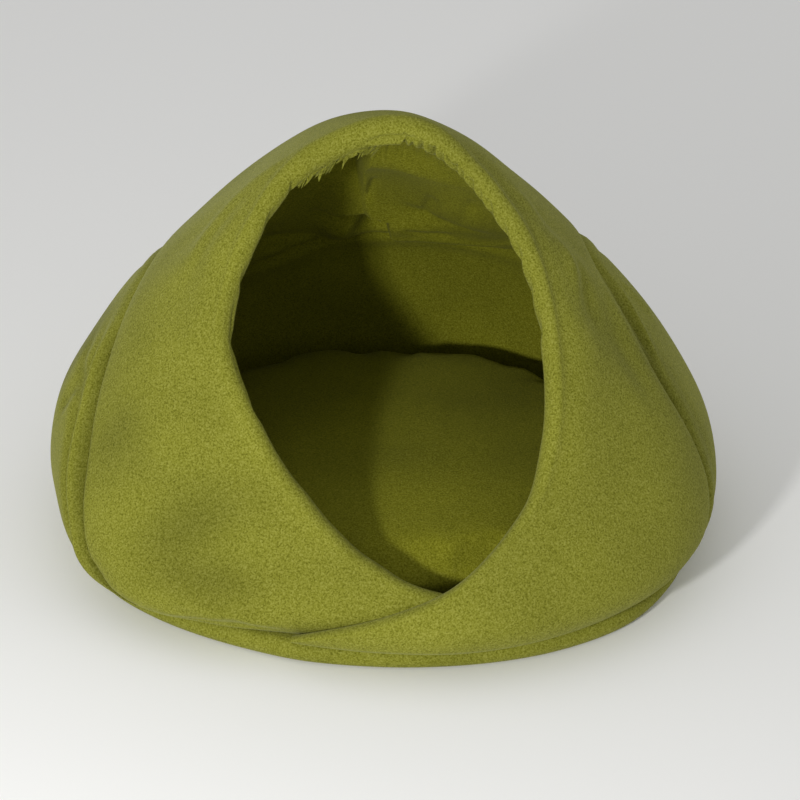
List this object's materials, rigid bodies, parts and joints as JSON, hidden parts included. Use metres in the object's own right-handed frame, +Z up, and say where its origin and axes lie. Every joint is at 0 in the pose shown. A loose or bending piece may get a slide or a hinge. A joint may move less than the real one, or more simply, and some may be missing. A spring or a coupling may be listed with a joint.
{
  "type": "fleece cat cave bed",
  "caption": "Fleece cave bed for a small pet: padded hood with crossed front ends and a tall mouth, low padded back, lining, padded oval base and loose round cushion.",
  "frame": {"origin": "middle of the bed's box, on the surface it stands on", "axes": "+Z up, -Y towards the mouth, +X to the right of someone facing the mouth"},
  "size_m": [0.5132, 0.467, 0.337],
  "materials": {
    "outer_fleece": "anti-pill polyester fleece, lime green, short mottled pile",
    "lining_fleece": "the same fleece as the outside",
    "cushion_fleece": "the same fleece over soft filling"
  },
  "bodies": {
    "root": {"hood_shell": "outer_fleece", "back_shell": "outer_fleece", "base_pad": "outer_fleece", "hood_lining": "lining_fleece", "back_lining": "lining_fleece", "seat_cushion": "cushion_fleece"}
  },
  "joints": []
}
